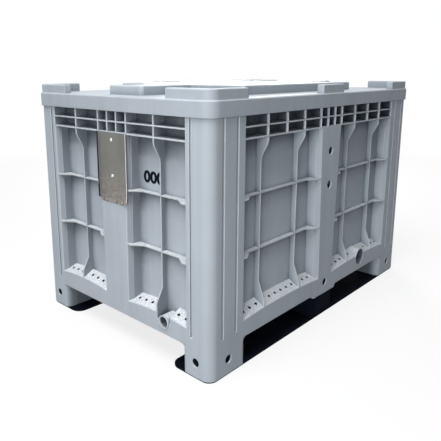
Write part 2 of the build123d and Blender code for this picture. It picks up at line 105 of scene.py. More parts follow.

# Strength of painted shade, painted top light, dirt specks and edge wear with painted highlights on the
# tub, from 0 to 1
TUB_BROAD_SHADE = 0.15
TUB_SPECKS = 0.48
# Pale edges: partly wear, partly painted highlight
PANEL_WEAR_AND_HIGHLIGHT = 0.70
LATTICE_WEAR_AND_HIGHLIGHT = 1.00
# Painted top light on the ledges, and its share in the lattice
LEDGE_PAINTED_LIGHT = 0.55
LATTICE_LEDGE_SHARE = 0.20
# Painted shade: below ribs, on flanks, in panels, in lattice cells, on feet, below the lid and in drain
# bores
PAINTED_SHADOW_BELOW = 0.92
FLANK_PAINTED_SHADE = 0.58
SHORT_PANEL_PAINTED_SHADE = 0.03
SHORT_UPPER_PAINTED_SHADE = 0.09
LONG_UPPER_PAINTED_SHADE = 0.16
LONG_FAR_PAINTED_SHADE = 0.26
CELL_PAINTED_SHADE = (0.20, 1.00)
LONG_CELL_PAINTED_SHADE = (0.22, 0.55)
FOOT_PAINTED_SHADE = 0.75
LID_LINE_PAINTED_SHADOW = 0.65
BORE_PAINTED_SHADE = 0.75

# The same on the lid, which stands in the open: painted shade, painted top light, dirt specks and edge wear
# with painted highlights
LID_BROAD_SHADE = 0.30
LID_SHADE = 0.09
LID_PAINTED_TOP_LIGHT = 0.19
LID_SPECKS = 0.12
LID_WEAR_AND_HIGHLIGHT = 0.30

# Spread of a noise about its middle, and the colour sockets of a Mix node
NOISE_SPREAD = (0.3, 0.7)
MIX_FIRST = 6
MIX_SECOND = 7
MIX_RESULT = 2

# Shelves at the foot of the walls, and their weep holes
PANEL_DEPTH = 0.040
SHELF_FRONT = 0.142
SHELF_RISE = 0.020
SHELF_ARCH = 0.009
WEEP_DEPTH = 0.021
WEEP_RADIUS = 0.0046
WEEP_LIP = 0.0009
WEEP_HEIGHT = 0.0005
WEEP_ROOT = 0.0008
WEEP_SIDES = 20

# Generic number on the panel of the short wall
NUMBER = "000"
NUMBER_PLACE = Vector((-0.560, -0.0985, 0.524))
NUMBER_SIZE = (0.086, 0.037)
NUMBER_WEIGHT = 0.045
NUMBER_THICKNESS = 0.0004

# Label plate and its rivets
PLATE_FOOT = 0.450
PLATE_MIDDLE = 0.580
PLATE_HALF_WIDTH = 0.060
PLATE_FOLD_BAND = (0.0025, 0.0040)
PLATE_THICKNESS = 0.0015
PLATE_BEND_RADIUS = 0.0045
PLATE_BEND_STEPS = 4
PLATE_CORNER_CUT = 0.012
PLATE_COLUMNS = 28
PLATE_ROWS = 48
PLATE_CURL = 0.006
PLATE_CURL_REACH = 0.050
PLATE_BOW = 0.0006
RIVET_HEAD_RADIUS = 0.0055
RIVET_HEAD_HEIGHT = 0.0024
RIVET_DIMPLE_RADIUS = 0.0016
RIVET_DIMPLE_DEPTH = 0.0010
RIVET_DIMPLE_TAPER = 0.8
RIVET_SHANK_RADIUS = 0.0024
RIVET_SHANK_LENGTH = 0.0115
RIVET_SIDES = 32
RIVET_ARC_STEPS = 8
SHARP_ANGLE = math.radians(40.0)

# Coves between the feet and the rails above them
RAIL_BOTTOM = 0.091
RAIL_DEPTH = 0.045
FOOT_ROUND = 0.020
COVE_RADIUS = 0.013
COVE_SINK = 0.001
COVE_STEPS = 8


@dataclass
class Wall:
    """One kind of wall, drawn facing -Y, with its feet, its shelves and the weep holes in them."""
    face: float
    foot_edge: float
    shelf: tuple
    rows: tuple
    pitch: float


@dataclass
class Drain:
    """A drain: its bung, its place along the wall, the room it takes, its radius and its cross plane."""
    bung: str
    place: float
    reach: float
    bore: float
    cross: tuple


@dataclass
class Lamp:
    """A large soft lamp that faces the box."""
    name: str
    place: Vector
    size: float
    watts: float


LAMPS = (
    Lamp("key_lamp", Vector((-2.6, -1.35, 0.35)), size=1.8, watts=49.0),
    Lamp("top_lamp", Vector((-1.7, -0.6, 3.7)), size=2.4, watts=122.0),
    Lamp("back_lamp", Vector((2.4, 2.0, 1.2)), size=1.8, watts=70.0),
)
LONG_WALL = Wall(
    face=0.400,
    foot_edge=0.443,
    shelf=(0.043, 0.459),
    rows=((-0.433, 3), (-0.304, 5), (-0.115, 2), (0.080, 3), (0.206, 5), (0.371, 3)),
    pitch=0.031,
)
SHORT_WALL = Wall(
    face=0.600,
    foot_edge=0.292,
    shelf=(0.055, 0.312),
    rows=((-0.277, 3), (-0.160, 3), (0.089, 3), (0.231, 3)),
    pitch=0.0295,
)
LONG_DRAIN = Drain("drain_bung_front", place=0.263, reach=0.040, bore=0.0305, cross=(1.0, 0.0, 1.0))
SHORT_DRAIN = Drain("drain_bung_left", place=0.220, reach=0.028, bore=0.0165, cross=(0.0, 1.0, 1.0))
SIDES = (
    (LONG_WALL, 0.0, LONG_DRAIN),
    (LONG_WALL, 180.0, None),
    (SHORT_WALL, -90.0, SHORT_DRAIN),
    (SHORT_WALL, 90.0, None),
)


class Graph:
    """Shorthand for building the node tree of one material."""

    def __init__(self, name):
        self.material = bpy.data.materials.new(name)
        self.material.use_nodes = True
        self.tree = self.material.node_tree
        self.shader = self.tree.nodes["Principled BSDF"]
        self.place = self.add("ShaderNodeTexCoord").outputs["Object"]

    def add(self, kind, inputs=None, **settings):
        """New node with its settings and inputs; an input is a value or another node's output."""
        node = self.tree.nodes.new(kind)
        for name, value in settings.items():
            setattr(node, name, value)
        for socket, value in (inputs or {}).items():
            self.feed(node.inputs[socket], value)
        return node

    def feed(self, socket, value):
        if isinstance(value, bpy.types.NodeSocket):
            self.tree.links.new(value, socket)
        else:
            socket.default_value = value

    def shade(self, **inputs):
        """Feeds the shader; underscores stand for spaces in the names of its sockets."""
        for name, value in inputs.items():
            self.feed(self.shader.inputs[name.replace("_", " ")], value)

    def stretched(self, scale):
        return self.add("ShaderNodeMapping", {"Vector": self.place, "Scale": scale}).outputs["Vector"]

    def noise(self, scale, detail=2.0, vector=None):
        inputs = {"Vector": vector or self.place, "Scale": scale, "Detail": detail}
        return self.add("ShaderNodeTexNoise", inputs).outputs["Fac"]

    def varied(self, scale, detail, low, high, vector=None):
        """Noise spread between two values."""
        return self.ramp(self.noise(scale, detail, vector), *NOISE_SPREAD, low, high)

    def ramp(self, value, low, high, start=0.0, end=1.0):
        """Value mapped from low..high to start..end and held there."""
        inputs = {"Value": value, "From Min": low, "From Max": high, "To Min": start, "To Max": end}
        return self.add("ShaderNodeMapRange", inputs, clamp=True).outputs["Result"]

    def calc(self, operation, first, second=0.0):
        return self.add("ShaderNodeMath", {0: first, 1: second}, operation=operation).outputs["Value"]

    def times(self, first, second):
        return self.calc("MULTIPLY", first, second)

    def plus(self, first, second):
        return self.calc("ADD", first, second)

    def largest(self, first, *others):
        for other in others:
            first = self.calc("MAXIMUM", first, other)
        return first

    def opposite(self, value):
        return self.calc("SUBTRACT", 1.0, value)

    def vector(self, operation, first, second=(0.0, 0.0, 0.0)):
        node = self.add("ShaderNodeVectorMath", {0: first, 1: second}, operation=operation)
        return node.outputs["Vector"]

    def length(self, vector):
        return self.add("ShaderNodeVectorMath", {0: vector}, operation="LENGTH").outputs["Value"]

    def mix(self, factor, first, second, kind="MIX"):
        inputs = {"Factor": factor, MIX_FIRST: first, MIX_SECOND: second}
        return self.add("ShaderNodeMix", inputs, data_type="RGBA", blend_type=kind).outputs[MIX_RESULT]

    def axis_of_place(self, axis):
        return self.add("ShaderNodeSeparateXYZ", {"Vector": self.place}).outputs[axis]

    def face_normal(self):
        return self.add("ShaderNodeNewGeometry").outputs["Normal"]

    def axis_of_normal(self, axis):
        return self.add("ShaderNodeSeparateXYZ", {"Vector": self.face_normal()}).outputs[axis]

    def facing(self, axis):
        """1 on faces square to an axis, 0 on faces along it."""
        return self.calc("ABSOLUTE", self.axis_of_normal(axis))

    def behind(self, wall, axis):
        """Distance behind the outer faces of one kind of wall."""
        return self.calc("SUBTRACT", wall.face, self.calc("ABSOLUTE", self.axis_of_place(axis)))

    def in_short_walls(self):
        """1 in the short walls, 0 in the long ones."""
        return self.calc("LESS_THAN", self.behind(SHORT_WALL, "X"), self.behind(LONG_WALL, "Y"))

    def depth_in_wall(self):
        """Distance behind the nearest outer face of the four walls, 0 on the rounds of the corners."""
        from_long = self.behind(LONG_WALL, "Y")
        from_short = self.behind(SHORT_WALL, "X")
        farther = self.largest(from_long, from_short)
        between_corners = self.ramp(farther, CORNER_RADIUS, CORNER_RADIUS + CORNER_FADE)
        return self.times(self.calc("MINIMUM", from_long, from_short), between_corners)

    def by_lattice(self, below, above):
        """One value below the lattice of the walls and another in it."""
        return self.ramp(self.axis_of_place("Z"), *LATTICE_EDGE, below, above)

    def corners(self, distance, normal=None):
        """Near 1 in inner corners, 0 in the open, seen along the face's normal or another one."""
        node = self.add("ShaderNodeAmbientOcclusion", {"Distance": distance}, samples=8)
        if normal:
            self.feed(node.inputs["Normal"], normal)
        return self.opposite(node.outputs["AO"])

    def shadowed_from_above_left(self, distance):
        """Near 1 where what stands out above or to the left would shade a face, for painted shadow from
        light above and to the left.
        """
        normal = self.face_normal()
        left = self.vector("CROSS_PRODUCT", normal, UP)
        sideways = self.vector("MULTIPLY", left, (PAINTED_LIGHT_FROM_LEFT, PAINTED_LIGHT_FROM_LEFT, PAINTED_LIGHT_FROM_LEFT))
        upwards = self.vector("ADD", normal, UP * PAINTED_LIGHT_FROM_ABOVE)
        return self.corners(distance, self.vector("NORMALIZE", self.vector("ADD", upwards, sideways)))

    def round_edges(self, radius):
        return self.add("ShaderNodeBevel", {"Radius": radius}, samples=6).outputs["Normal"]

    def edge_mask(self, rounded):
        """Above 0 where the rounded normal leaves the face's own normal."""
        inputs = {0: rounded, 1: self.face_normal()}
        alike = self.add("ShaderNodeVectorMath", inputs, operation="DOT_PRODUCT").outputs["Value"]
        return self.opposite(alike)

    def bump(self, height, distance, strength, normal):
        inputs = {"Height": height, "Distance": distance, "Strength": strength, "Normal": normal}
        return self.add("ShaderNodeBump", inputs).outputs["Normal"]


def grey_plastic(name, in_walls):
    """Moulded grey plastic: pale edges from wear and painted highlight, painted top light and dirt specks
    on what faces up, painted shade in recesses.
    """
    g = Graph(name)
    mottle = g.varied(3.0, 4.0, 0.93, 1.06)
    streaks = g.varied(1.0, 3.0, 0.965, 1.035, g.stretched((38.0, 38.0, 0.9)))
    colour = g.mix(1.0, GREY, g.times(mottle, streaks), "MULTIPLY")
    up = g.ramp(g.axis_of_normal("Z"), 0.5, 0.85)
    # Painted shade: darker in corners and recesses, by how much of the open each point sees
    broad = g.ramp(g.corners(0.16), 0.15, 0.85, 0.0, TUB_BROAD_SHADE if in_walls else LID_BROAD_SHADE)
    tight = g.ramp(g.corners(0.045), 0.30, 0.70, 0.0, 0.70)
    recess = g.largest(broad, tight)
    if in_walls:
        shade = wall_shade(g, recess)
        dust_and_top_light = ledge_painted_light(g)
        specks = TUB_SPECKS
        wear_and_highlight = g.by_lattice(PANEL_WEAR_AND_HIGHLIGHT, LATTICE_WEAR_AND_HIGHLIGHT)
    else:
        shade = g.largest(recess, LID_SHADE)
        dust_and_top_light = LID_PAINTED_TOP_LIGHT
        specks = LID_SPECKS
        wear_and_highlight = LID_WEAR_AND_HIGHLIGHT
    # Painted top light: what faces up is made paler on the walls' ledges and on the lid
    colour = g.mix(g.times(up, dust_and_top_light), colour, PALE)
    speckle = g.ramp(g.noise(260.0, 1.0), 0.53, 0.63, 0.0, specks)
    colour = g.mix(g.times(up, speckle), colour, DIRT)
    # Painted shade, on all but what faces up
    colour = g.mix(g.times(shade, g.opposite(up)), colour, SHADE)
    if in_walls:
        # Painted shade inside the drain bores
        for drain in (LONG_DRAIN, SHORT_DRAIN):
            colour = g.mix(bore_shade(g, drain), colour, SHADE)
    # Pale edges: partly wear, partly painted highlight where edges catch the light
    rounded = g.round_edges(0.0035)
    worn_and_highlit_edges = g.ramp(g.edge_mask(rounded), 0.01, 0.14, 0.0, wear_and_highlight)
    outer = g.ramp(g.corners(0.006), 0.08, 0.22, 1.0, 0.0)
    colour = g.mix(g.times(worn_and_highlit_edges, outer), colour, PALE)
    roughness = g.varied(35.0, 4.0, 0.42, 0.58)
    grain = g.bump(g.noise(900.0, 2.0), 0.0003, 0.15, rounded)
    waves = g.bump(g.noise(9.0, 1.0), 0.002, 0.08, grain)
    g.shade(Base_Color=colour, Roughness=roughness, Normal=waves, Specular_IOR_Level=0.15)
    return g.material


def in_outer_walls(g, depth):
    """1 from the walls' outer faces to their panels, 0 behind the panels."""
    return g.ramp(depth, PANEL_DEPTH + 0.001, PANEL_DEPTH + 0.004, 1.0, 0.0)


def ledge_painted_light(g):
    """Painted top light on the ledges of the walls, with less of it in the lattice."""
    depth = g.depth_in_wall()
    ledges = g.times(g.ramp(depth, 0.0005, 0.002, 0.0, LEDGE_PAINTED_LIGHT), in_outer_walls(g, depth))
    return g.times(ledges, g.by_lattice(1.0, LATTICE_LEDGE_SHARE))


def wall_shade(g, recess):
    """Painted shade of the walls: in the bays, the lattice and the feet, in corners and as a shadow line
    below the lid.
    """
    depth = g.depth_in_wall()
    level = g.axis_of_place("Z")
    occlusion_from_above_left = g.shadowed_from_above_left(PAINTED_SHADOW_REACH)
    recessed = g.ramp(depth, GROOVE_DEPTH, RECESS_DEPTH)
    in_lattice = g.by_lattice(0.0, 1.0)
    cells = g.times(g.times(recessed, cell_painted_shade(g, occlusion_from_above_left)), in_lattice)
    outside = g.largest(bay_painted_shade(g, depth, level, occlusion_from_above_left), cells, lid_line(g, level))
    # Painted shade on the feet below the rails
    low = g.ramp(level, FOOT_TOP - 0.004, FOOT_TOP + 0.002, FOOT_PAINTED_SHADE, 0.0)
    feet = g.times(low, g.ramp(depth, 0.015, 0.040))
    corners = g.times(g.times(recess, recessed), g.opposite(in_lattice))
    return g.largest(g.times(in_outer_walls(g, depth), outside), feet, corners)


def cell_painted_shade(g, occlusion_from_above_left):
    """Painted shade in the cells of the lattice, with more of it in the long walls and most on the flanks
    there.
    """
    more = g.times(g.opposite(g.in_short_walls()), g.ramp(g.facing("X"), 0.0, 1.0, *LONG_CELL_PAINTED_SHADE))
    return g.calc("MINIMUM", g.plus(g.ramp(occlusion_from_above_left, *CELL_SHADOW_RANGE, *CELL_PAINTED_SHADE), more), 1.0)


def lid_line(g, level):
    """Thin line of painted shadow on the walls just below the edge of the lid's skirt."""
    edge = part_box("lid")[0][2]
    rise = g.ramp(level, edge - LID_LINE, edge, 0.0, LID_LINE_PAINTED_SHADOW)
    return g.times(rise, g.ramp(level, edge, edge + LID_LINE / 2, 1.0, 0.0))


def bay_painted_shade(g, depth, level, occlusion_from_above_left):
    """Painted shade in the bays: on panels below what stands out, by level, at the far end and on flanks.
    """
    deep = g.ramp(depth, 0.006, 0.034)
    shadowed_from_above_left = g.ramp(occlusion_from_above_left, *PANEL_SHADOW_RANGE, 0.0, PAINTED_SHADOW_BELOW)
    # Painted shadow below ribs and lattice
    under = g.times(shadowed_from_above_left, g.ramp(depth, GROOVE_DEPTH, BAY_DEPTH))
    near = g.ramp(g.axis_of_place("Y"), 0.0, 0.1, 1.0, 0.35)
    upper = g.times(near, g.ramp(level, 0.36, 0.62, 0.0, SHORT_UPPER_PAINTED_SHADE))
    panel = g.largest(g.times(deep, g.plus(upper, SHORT_PANEL_PAINTED_SHADE)), under)
    flanks = g.times(g.facing("Y"), g.ramp(depth, 0.0005, 0.004, 0.0, FLANK_PAINTED_SHADE))
    short = g.plus(flanks, g.times(g.facing("X"), panel))
    far = g.ramp(g.axis_of_place("X"), 0.15, 0.45, 0.0, LONG_FAR_PAINTED_SHADE)
    upper = g.ramp(level, PANEL_MIDDLE, LATTICE_LOW, 0.0, LONG_UPPER_PAINTED_SHADE)
    panel = g.largest(g.times(deep, g.plus(upper, far)), under)
    long = g.times(g.facing("Y"), panel)
    return g.plus(long, g.times(g.in_short_walls(), g.calc("SUBTRACT", short, long)))


def bore_shade(g, drain):
    """Shade inside the bore of a drain, found by the distance from its bung and from the bung's axis."""
    low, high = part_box(drain.bung)
    offset = g.vector("SUBTRACT", g.place, (Vector(low) + Vector(high)) / 2)
    away = g.length(g.vector("MULTIPLY", offset, drain.cross))
    inner = g.ramp(away, drain.bore + 0.0005, drain.bore + 0.0015, BORE_PAINTED_SHADE, 0.0)
    close = g.ramp(g.length(offset), 0.08, 0.09, 1.0, 0.0)
    return g.times(g.times(inner, close), g.ramp(g.depth_in_wall(), -0.002, 0.004))


def black_plastic():
    """Black moulded plastic, faintly dusty on what faces up."""
    g = Graph("black_plastic")
    colour = g.mix(1.0, BLACK, g.varied(6.0, 3.0, 0.7, 1.4), "MULTIPLY")
    up = g.ramp(g.axis_of_normal("Z"), 0.4, 0.9)
    dust_and_top_light = g.times(up, g.ramp(g.noise(40.0, 5.0), 0.45, 0.75, 0.0, 0.25))
    colour = g.mix(dust_and_top_light, colour, DUST)
    roughness = g.varied(50.0, 4.0, 0.60, 0.75)
    grain = g.bump(g.noise(700.0, 2.0), 0.0003, 0.2, g.round_edges(0.002))
    g.shade(Base_Color=colour, Roughness=roughness, Normal=grain, Specular_IOR_Level=0.01)
    return g.material


def brushed(g, base):
    """Colour of steel brushed along its height, with smudges, and its brush lines."""
    lines = g.noise(1.0, 3.0, g.stretched((900.0, 900.0, 14.0)))
    tone = g.times(g.ramp(lines, *NOISE_SPREAD, 0.92, 1.06), g.varied(14.0, 4.0, 0.90, 1.06))
    return g.mix(1.0, base, tone, "MULTIPLY"), lines


def steel_shader(g, colour, lines, roughness):
    """Metal with rounded edges and brush lines."""
    normal = g.bump(lines, 0.0001, 0.2, g.round_edges(0.0006))
    g.shade(Base_Color=colour, Metallic=1.0, Roughness=g.varied(14.0, 4.0, *roughness), Normal=normal)
    return g.material


def plate_steel():
    """Steel of the label plate: warmer and speckled at its foot, with a painted highlight on one fold and
    painted shadow on the other.
    """
    g = Graph("plate_steel")
    level = g.axis_of_place("Z")
    across = g.axis_of_place("Y")
    low = g.ramp(level, PLATE_FOOT, PLATE_MIDDLE, 1.0, 0.0)
    warm = g.times(low, g.ramp(across, -PLATE_HALF_WIDTH, PLATE_HALF_WIDTH, 1.0, 0.35))
    colour, lines = brushed(g, g.mix(warm, STEEL, WARM_STEEL))
    grains = g.ramp(g.noise(280.0, 2.0), 0.42, 0.58, -1.0, 1.0)
    rough_foot = g.ramp(level, PLATE_FOOT + 0.006, PLATE_FOOT + 0.014, 0.80, 0.0)
    amount = g.largest(g.times(low, 0.32), rough_foot)
    colour = g.mix(1.0, colour, g.plus(1.0, g.times(grains, amount)), "MULTIPLY")
    right, left = (place[1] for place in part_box("label_plate"))
    start, end = PLATE_FOLD_BAND
    # Painted highlight along the right fold and painted shadow along the left fold
    colour = g.mix(g.ramp(across, right + start, right + end, 0.9, 0.0), colour, BRIGHT_STEEL)
    colour = g.mix(g.ramp(across, left - end, left - start, 0.0, 0.95), colour, BLACK)
    return steel_shader(g, colour, lines, roughness=(0.42, 0.56))


def bright_steel():
    """Bright steel of the rivets, with painted shade in the dimples and tight corners."""
    g = Graph("bright_steel")
    colour, lines = brushed(g, BRIGHT_STEEL)
    # Painted shade in the dimples and where the heads meet the plate
    colour = g.mix(g.ramp(g.corners(0.012), 0.15, 0.8, 0.0, 0.9), colour, BLACK)
    return steel_shader(g, colour, lines, roughness=(0.18, 0.30))


def black_rubber():
    """Matt rubber with a light bloom."""
    g = Graph("black_rubber")
    colour = g.mix(g.ramp(g.noise(60.0, 4.0), 0.4, 0.8, 0.0, 0.3), RUBBER, DUST)
    grain = g.bump(g.noise(1500.0, 2.0), 0.0002, 0.2, g.round_edges(0.001))
    roughness = g.varied(80.0, 2.0, 0.6, 0.8)
    g.shade(Base_Color=colour, Roughness=roughness, Normal=grain, Specular_IOR_Level=0.2)
    return g.material


def black_paint_and_hole_shade():
    """Sprayed black paint, thin in places, which also stands in for the shade inside the weep holes."""
    g = Graph("black_paint_and_hole_shade")
    colour = g.mix(g.ramp(g.noise(260.0, 4.0), 0.62, 0.80, 0.0, 0.15), BLACK, GREY)
    roughness = g.varied(120.0, 3.0, 0.45, 0.65)
    grain = g.bump(g.noise(900.0, 2.0), 0.0003, 0.15, g.round_edges(0.0003))
    g.shade(Base_Color=colour, Roughness=roughness, Normal=grain, Specular_IOR_Level=0.04)
    return g.material


def dress_nodes():
    """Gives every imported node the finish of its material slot."""
    finishes = {
        "grey_plastic": grey_plastic("grey_plastic", True),
        "lid": grey_plastic("lid_plastic", False),
        "black_plastic": black_plastic(),
        "steel": plate_steel(),
        "plate_rivets": bright_steel(),
        "black_rubber": black_rubber(),
        "paint": black_paint_and_hole_shade(),
    }
    for part in frame["record"]["subparts"]:
        materials = frame["nodes"][part["node"]].data.materials
        materials.clear()
        materials.append(finishes.get(part["node"], finishes[part["material_slot"]]))
    return finishes


def add_lathe(bm, profile, placement, sides):
    """Round shape about a placed axis, from (radius, height) points that start and end on the axis."""
    rings = []
    for radius, height in profile:
        count = sides if radius else 1
        turns = [math.tau * step / count for step in range(count)]
        points = [Vector((radius * math.cos(turn), radius * math.sin(turn), height)) for turn in turns]
        rings.append([bm.verts.new(placement @ point) for point in points])
    for inner, outer in zip(rings, rings[1:]):
        for step in range(sides):
            corners = [
                inner[step % len(inner)],
                inner[(step + 1) % len(inner)],
                outer[(step + 1) % len(outer)],
                outer[step % len(outer)],
            ]
            bm.faces.new(list(dict.fromkeys(corners)))


def add_piece(name, bm, finish):
    """Turns a mesh under construction into a piece that rides on the box."""
    bmesh.ops.recalc_face_normals(bm, faces=bm.faces[:])
    mesh = bpy.data.meshes.new(name)
    bm.to_mesh(mesh)
    bm.free()
    for face in mesh.polygons:
        face.use_smooth = True
    mesh.set_sharp_from_angle(angle=SHARP_ANGLE)
    return mount_mesh(name, mesh, finish)


def mount_mesh(name, mesh, finish):
    """Makes a finished mesh a piece that rides on the box."""
    mesh.materials.clear()
    mesh.materials.append(finish)
    piece = bpy.data.objects.new(name, mesh)
    bpy.context.scene.collection.objects.link(piece)
    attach(piece, "box")
    return piece


def shelf_height(wall, place):
    """Height of a shelf's front edge, which follows an arc, and the slope of that edge."""
    start, end = wall.shelf
    half = (end - start) / 2
    radius = (half ** 2 + SHELF_ARCH ** 2) / (2 * SHELF_ARCH)
    offset = place - math.copysign((start + end) / 2, place)
    drop = math.sqrt(radius ** 2 - offset ** 2)
    return SHELF_FRONT + SHELF_ARCH - radius + drop, -offset / drop


def weep_places():
    """Placements of the weep holes, each with its axis square to the shelf."""
    climb = SHELF_RISE / PANEL_DEPTH
    for wall, turn, drain in SIDES:
        side_turn = Matrix.Rotation(math.radians(turn), 4, "Z")
        for first, count in wall.rows:
            for step in range(count):
                place = first + step * wall.pitch
                if drain and abs(place - drain.place) < drain.reach:
                    continue
                height, slope = shelf_height(wall, place)
                point = Vector((place, -wall.face + WEEP_DEPTH, height + climb * WEEP_DEPTH))
                normal = Vector((-slope, -climb, 1.0))
                facing = normal.to_track_quat("Z", "Y").to_matrix().to_4x4()
                yield side_turn @ Matrix.Translation(point) @ facing


def make_weep_holes(finishes):
    """Weep holes in the shelves: a dark round that stands in for the shade inside the hole, with a low
    moulded lip about it.
    """
    outer = WEEP_RADIUS + WEEP_LIP
    dark = bmesh.new()
    lips = bmesh.new()
    middle = WEEP_HEIGHT / 2
    hole = [(0.0, middle), (WEEP_RADIUS, middle), (WEEP_RADIUS, -WEEP_ROOT), (0.0, -WEEP_ROOT)]
    lip = [
        (WEEP_RADIUS, 0.0),
        (WEEP_RADIUS, WEEP_HEIGHT),
        (outer - WEEP_HEIGHT, WEEP_HEIGHT),
        (outer, 0.0),
        (outer, -WEEP_ROOT),
        (WEEP_RADIUS, -WEEP_ROOT),
        (WEEP_RADIUS, 0.0),
    ]
    for placement in weep_places():
        # The dark round is painted shade standing in for the inside of the hole
        add_lathe(dark, hole, placement, WEEP_SIDES)
        add_lathe(lips, lip, placement, WEEP_SIDES)
    bmesh.ops.remove_doubles(lips, verts=lips.verts[:], dist=WEEP_HEIGHT / 100)
    add_piece("weep_holes", dark, finishes["paint"])
    add_piece("weep_lips", lips, finishes["grey_plastic"])


def cove_loop():
    """Section of a cove as (reach, level): a concave quarter round and its buried back."""
    loop = [(-COVE_SINK, RAIL_BOTTOM + COVE_SINK), (COVE_RADIUS, RAIL_BOTTOM + COVE_SINK)]
    for step in range(COVE_STEPS + 1):
        turn = math.pi / 2 * step / COVE_STEPS
        reach = COVE_RADIUS * (1.0 - math.sin(turn))
        loop.append((reach, RAIL_BOTTOM - COVE_RADIUS * (1.0 - math.cos(turn))))
    return loop + [(-COVE_SINK, RAIL_BOTTOM - COVE_RADIUS)]


def add_cove(bm, wall, side, turn):
    """Cove round one side of a foot, from the outer face to the back of the rail."""
    round_centre = wall.foot_edge + FOOT_ROUND
    path = []
    for step in range(COVE_STEPS + 1):
        angle = math.pi / 2 * step / COVE_STEPS
        along = Vector((-math.sin(angle), -math.cos(angle)))
        path.append((Vector((round_centre, FOOT_ROUND)) + FOOT_ROUND * along, along))
    path.append((Vector((wall.foot_edge, RAIL_DEPTH)), Vector((-1.0, 0.0))))
    sections = []
    for point, outward in path:
        section = []
        for reach, level in cove_loop():
            place, depth = point + reach * outward
            spot = Vector((side * place, max(depth, 0.0) - wall.face, level))
            section.append(bm.verts.new(Matrix.Rotation(turn, 4, "Z") @ spot))
        sections.append(section)
    count = len(sections[0])
    for near, far in zip(sections, sections[1:]):
        for step in range(count):
            following = (step + 1) % count
            bm.faces.new((near[step], near[following], far[following], far[step]))
    bm.faces.new(sections[0])
    bm.faces.new(sections[-1])


def make_coves(finishes):
    """Small coves where the rails meet the sides of the feet."""
    bm = bmesh.new()
    for wall, turn, _ in SIDES:
        for side in (-1, 1):
            add_cove(bm, wall, side, math.radians(turn))
    bmesh.ops.remove_doubles(bm, verts=bm.verts[:], dist=COVE_SINK / 100)
    add_piece("foot_coves", bm, finishes["grey_plastic"])


def make_number(finishes):
    """Generic number painted on the panel of the short wall."""
    curve = bpy.data.curves.new("panel_number", "FONT")
    curve.body = NUMBER
    curve.offset = NUMBER_WEIGHT
    curve.extrude = 1.0
    text = bpy.data.objects.new("panel_number_text", curve)
    mesh = bpy.data.meshes.new_from_object(text)
    bpy.data.objects.remove(text)
    bpy.data.curves.remove(curve)
    lows = [min(vert.co[axis] for vert in mesh.vertices) for axis in range(3)]
    highs = [max(vert.co[axis] for vert in mesh.vertices) for axis in range(3)]
    sizes = (*NUMBER_SIZE, NUMBER_THICKNESS)
    factors = [size / (high - low) for size, low, high in zip(sizes, lows, highs)]
    scale = Matrix.Diagonal(factors).to_4x4()
    facing = Matrix(((0.0, 0.0, -1.0), (-1.0, 0.0, 0.0), (0.0, 1.0, 0.0))).to_4x4()
    start = Vector((lows[0], lows[1], (lows[2] + highs[2]) / 2))
    mesh.transform(Matrix.Translation(NUMBER_PLACE) @ facing @ scale @ Matrix.Translation(-start))
    mount_mesh("panel_number", mesh, finishes["paint"])


def plate_columns(left, right, fold):
    """Points across the label plate as (place, height): a folded side, the flat sheet, a folded side."""
    inset = PLATE_THICKNESS / 2
    edge = left - inset
    centre = edge - PLATE_BEND_RADIUS
    lift = inset + PLATE_BEND_RADIUS
    side = [(edge, fold), (edge, (fold + lift) / 2)]
    for step in range(PLATE_BEND_STEPS + 1):
        turn = math.pi / 2 * step / PLATE_BEND_STEPS
        place = centre + PLATE_BEND_RADIUS * math.cos(turn)
        side.append((place, lift - PLATE_BEND_RADIUS * math.sin(turn)))
    middle = left + right
    far_side = [(middle - place, height) for place, height in reversed(side)]
    span = far_side[0][0] - centre
    flat = [(centre + span * step / PLATE_COLUMNS, inset) for step in range(1, PLATE_COLUMNS)]
    return side + flat + far_side


def make_label_plate(finishes):
    """Steel label plate with folded sides, its lower corners cut and one of them bent out."""
    low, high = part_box("label_plate")
    face = high[0]
    left, right = high[1], low[1]
    bottom, top = low[2], high[2]
    columns = plate_columns(left, right, face - low[0])
    bm = bmesh.new()
    grid = []
    for row in range(PLATE_ROWS + 1):
        share = row / PLATE_ROWS
        level = bottom + (top - bottom) * share
        line = []
        for place, height in columns:
            near = max(0.0, 1.0 - (place - right + level - bottom) / PLATE_CURL_REACH)
            lift = height + PLATE_CURL * near ** 2 + PLATE_BOW * math.sin(math.pi * share)
            line.append(bm.verts.new((face - lift, place, level)))
        grid.append(line)
    for lower, upper in zip(grid, grid[1:]):
        for step in range(len(columns) - 1):
            bm.faces.new((lower[step], lower[step + 1], upper[step + 1], upper[step]))
    for side, corner in ((1.0, left), (-1.0, right)):
        cut = Vector((face, corner - side * PLATE_CORNER_CUT, bottom))
        everything = bm.verts[:] + bm.edges[:] + bm.faces[:]
        slant = Vector((0.0, side, -1.0))
        bmesh.ops.bisect_plane(bm, geom=everything, plane_co=cut, plane_no=slant, clear_outer=True)
    plate = add_piece("label_plate_sheet", bm, finishes["steel"])
    thickness = plate.modifiers.new("thickness", "SOLIDIFY")
    thickness.thickness = PLATE_THICKNESS
    thickness.offset = 0.0
    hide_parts("label_plate")


